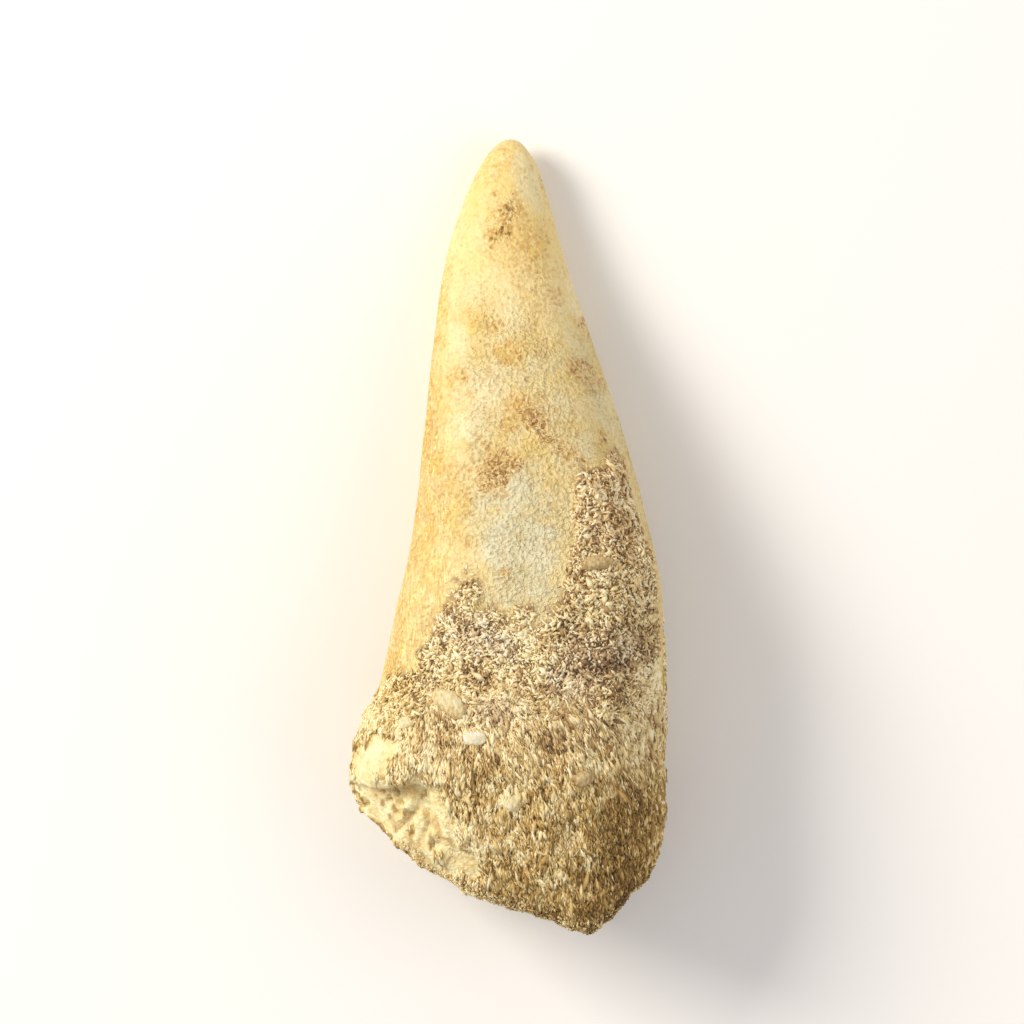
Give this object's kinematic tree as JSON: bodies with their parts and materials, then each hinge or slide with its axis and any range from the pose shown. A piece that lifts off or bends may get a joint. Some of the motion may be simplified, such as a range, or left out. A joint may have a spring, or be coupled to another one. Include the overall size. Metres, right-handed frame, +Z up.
{
  "type": "fossil fish tooth",
  "caption": "Curved fossil fish fang with cream enamel, a flared bone base under a cemented sand crust, a chipped corner and an old break across the base.",
  "frame": {"origin": "centre of the bounding box, on the surface that the tooth lies on", "axes": "+Y from the broken base towards the point of the fang, +Z up out of the side that the tooth lies on, +X towards the bulging edge"},
  "size_m": [0.0153, 0.0382, 0.011],
  "materials": {
    "fossil_tooth": "satin, mineralised enamel and bone",
    "sand_crust": "matt, cemented sand"
  },
  "bodies": {
    "root": {"tooth": "fossil_tooth"}
  },
  "joints": []
}
